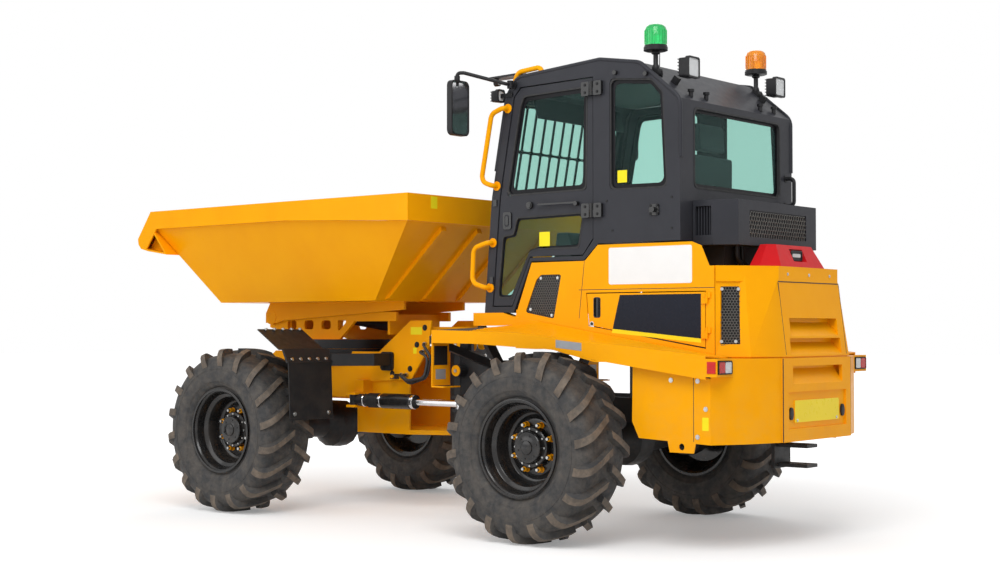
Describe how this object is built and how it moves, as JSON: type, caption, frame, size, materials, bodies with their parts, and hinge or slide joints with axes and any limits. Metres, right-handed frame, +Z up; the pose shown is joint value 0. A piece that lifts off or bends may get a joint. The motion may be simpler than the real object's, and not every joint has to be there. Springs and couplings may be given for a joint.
{
  "type": "articulated site dumper",
  "caption": "Cabbed articulated site dumper with a swivelling, forward-tipping skip ahead of a centre pivot and a glazed cab behind it.",
  "frame": {"origin": "on the ground below the middle of the machine's length and width", "axes": "-Y forward (skip end), +X the machine's left, +Z up"},
  "size_m": [2.203, 4.92, 2.9137],
  "materials": {
    "tyre_rubber": "matt",
    "gloss_black": "gloss",
    "satin_black": "satin",
    "engine_grey": "matt",
    "body_yellow": "gloss",
    "chrome_rod": "polished",
    "cab_anthracite": "satin",
    "tinted_glass": "clear tinted",
    "seat_fabric": "woven",
    "dash_plastic": "matt",
    "signal_red": "gloss",
    "beacon_amber": "gloss",
    "lamp_red": "gloss"
  },
  "bodies": {
    "rear_frame": {"rear_axle": "satin_black", "rear_chassis": "satin_black", "engine": "engine_grey", "fenders": "body_yellow", "side_panels": "body_yellow", "rear_hood": "body_yellow", "tail_panel": "body_yellow", "tow_hitch": "satin_black", "cab_frame": "cab_anthracite", "cab_glass": "tinted_glass", "seat": "seat_fabric", "seat_base": "satin_black", "console": "dash_plastic", "ac_box": "satin_black", "lamp_cover": "signal_red", "beacons": "beacon_amber", "mirrors": "satin_black", "grab_handles": "body_yellow", "tail_lamps": "lamp_red", "mesh_panels": "satin_black", "front_guard": "satin_black", "work_lamps": "satin_black", "antenna": "satin_black"},
    "steering_wheel_body": {"steering_wheel": "dash_plastic"},
    "centre_pivot": {"pivot_block": "satin_black"},
    "front_frame": {"front_axle": "satin_black", "front_chassis": "body_yellow", "mudguards": "satin_black"},
    "swivel_frame": {"turntable": "body_yellow"},
    "skip_body": {"skip": "body_yellow"},
    "tip_barrel": {"tip_ram_barrel": "satin_black"},
    "tip_rod": {"tip_ram_rod": "chrome_rod"},
    "steer_barrel": {"steer_ram_barrel": "satin_black"},
    "steer_rod": {"steer_ram_rod": "chrome_rod"},
    "wheel_fl": {"tyre_fl": "tyre_rubber", "rim_fl": "gloss_black"},
    "wheel_fr": {"tyre_fr": "tyre_rubber", "rim_fr": "gloss_black"},
    "wheel_rl": {"tyre_rl": "tyre_rubber", "rim_rl": "gloss_black"},
    "wheel_rr": {"tyre_rr": "tyre_rubber", "rim_rr": "gloss_black"},
    "cab_door_left": {"door_left": "cab_anthracite", "door_glass_left": "tinted_glass"},
    "cab_door_right": {"door_right": "cab_anthracite", "door_glass_right": "tinted_glass"},
    "side_hatch_left": {"hatch_left": "body_yellow"},
    "side_hatch_right": {"hatch_right": "body_yellow"}
  },
  "joints": [
    {"name": "oscillate", "type": "hinge", "parent": "rear_frame", "child": "centre_pivot", "pos_m": [0, 0.2, 0.8], "axis": [0, 1, 0], "range_deg": [-8, 8]},
    {"name": "steer", "type": "hinge", "parent": "centre_pivot", "child": "front_frame", "pos_m": [0, -0.16, 0.85], "axis": [0, 0, 1], "range_deg": [-30, 30]},
    {"name": "swivel", "type": "hinge", "parent": "front_frame", "child": "swivel_frame", "pos_m": [0, -1.16, 1.06], "axis": [0, 0, 1], "range_deg": [-90, 90]},
    {"name": "tip", "type": "hinge", "parent": "swivel_frame", "child": "skip_body", "pos_m": [0, -1.68, 1.285], "axis": [1, 0, 0], "range_deg": [0, 50]},
    {"name": "tip_ram_swing", "type": "hinge", "parent": "swivel_frame", "child": "tip_barrel", "pos_m": [0, -0.64, 1.2], "axis": [1, 0, 0], "range_deg": [-15.52, 0.5]},
    {"name": "tip_ram_stroke", "type": "slide", "parent": "tip_barrel", "child": "tip_rod", "axis": [0, -0.991, 0.1335], "range_m": [-0.005, 0.1958]},
    {"name": "steer_ram_swing", "type": "hinge", "parent": "front_frame", "child": "steer_barrel", "pos_m": [0.36, -0.8, 0.73], "axis": [0, 0, 1], "range_deg": [-12, 12]},
    {"name": "steer_ram_stroke", "type": "slide", "parent": "steer_barrel", "child": "steer_rod", "axis": [0, 1, 0], "range_m": [-0.1904, 0.1904]},
    {"name": "steering_wheel_turn", "type": "hinge", "parent": "rear_frame", "child": "steering_wheel_body", "pos_m": [0, 0.984, 1.927], "axis": [0, 0.6644, 0.7474], "continuous": true},
    {"name": "wheel_fl_spin", "type": "hinge", "parent": "front_frame", "child": "wheel_fl", "pos_m": [0.8975, -1.335, 0.5375], "axis": [1, 0, 0], "continuous": true},
    {"name": "wheel_fr_spin", "type": "hinge", "parent": "front_frame", "child": "wheel_fr", "pos_m": [-0.8975, -1.335, 0.5375], "axis": [1, 0, 0], "continuous": true},
    {"name": "wheel_rl_spin", "type": "hinge", "parent": "rear_frame", "child": "wheel_rl", "pos_m": [0.8975, 1.165, 0.5375], "axis": [1, 0, 0], "continuous": true},
    {"name": "wheel_rr_spin", "type": "hinge", "parent": "rear_frame", "child": "wheel_rr", "pos_m": [-0.8975, 1.165, 0.5375], "axis": [1, 0, 0], "continuous": true},
    {"name": "door_left_open", "type": "hinge", "parent": "rear_frame", "child": "cab_door_left", "pos_m": [0.636, 1.365, 2], "axis": [0, 0, 1], "range_deg": [0, 110]},
    {"name": "door_right_open", "type": "hinge", "parent": "rear_frame", "child": "cab_door_right", "pos_m": [-0.636, 1.365, 2], "axis": [0, 0, -1], "range_deg": [0, 110]},
    {"name": "hatch_left_open", "type": "hinge", "parent": "rear_frame", "child": "side_hatch_left", "pos_m": [0.629, 2.127, 1.25], "axis": [0, 0, 1], "range_deg": [0, 100]},
    {"name": "hatch_right_open", "type": "hinge", "parent": "rear_frame", "child": "side_hatch_right", "pos_m": [-0.629, 2.127, 1.25], "axis": [0, 0, -1], "range_deg": [0, 100]}
  ],
  "couplings": [
    {"joint": "tip_ram_swing", "follows": "tip", "ratio": -0.30037},
    {"joint": "tip_ram_stroke", "follows": "tip", "m_per_rad": 0.21864},
    {"joint": "steer_ram_swing", "follows": "steer", "ratio": -0.3075},
    {"joint": "steer_ram_stroke", "follows": "steer", "m_per_rad": -0.35417}
  ]
}
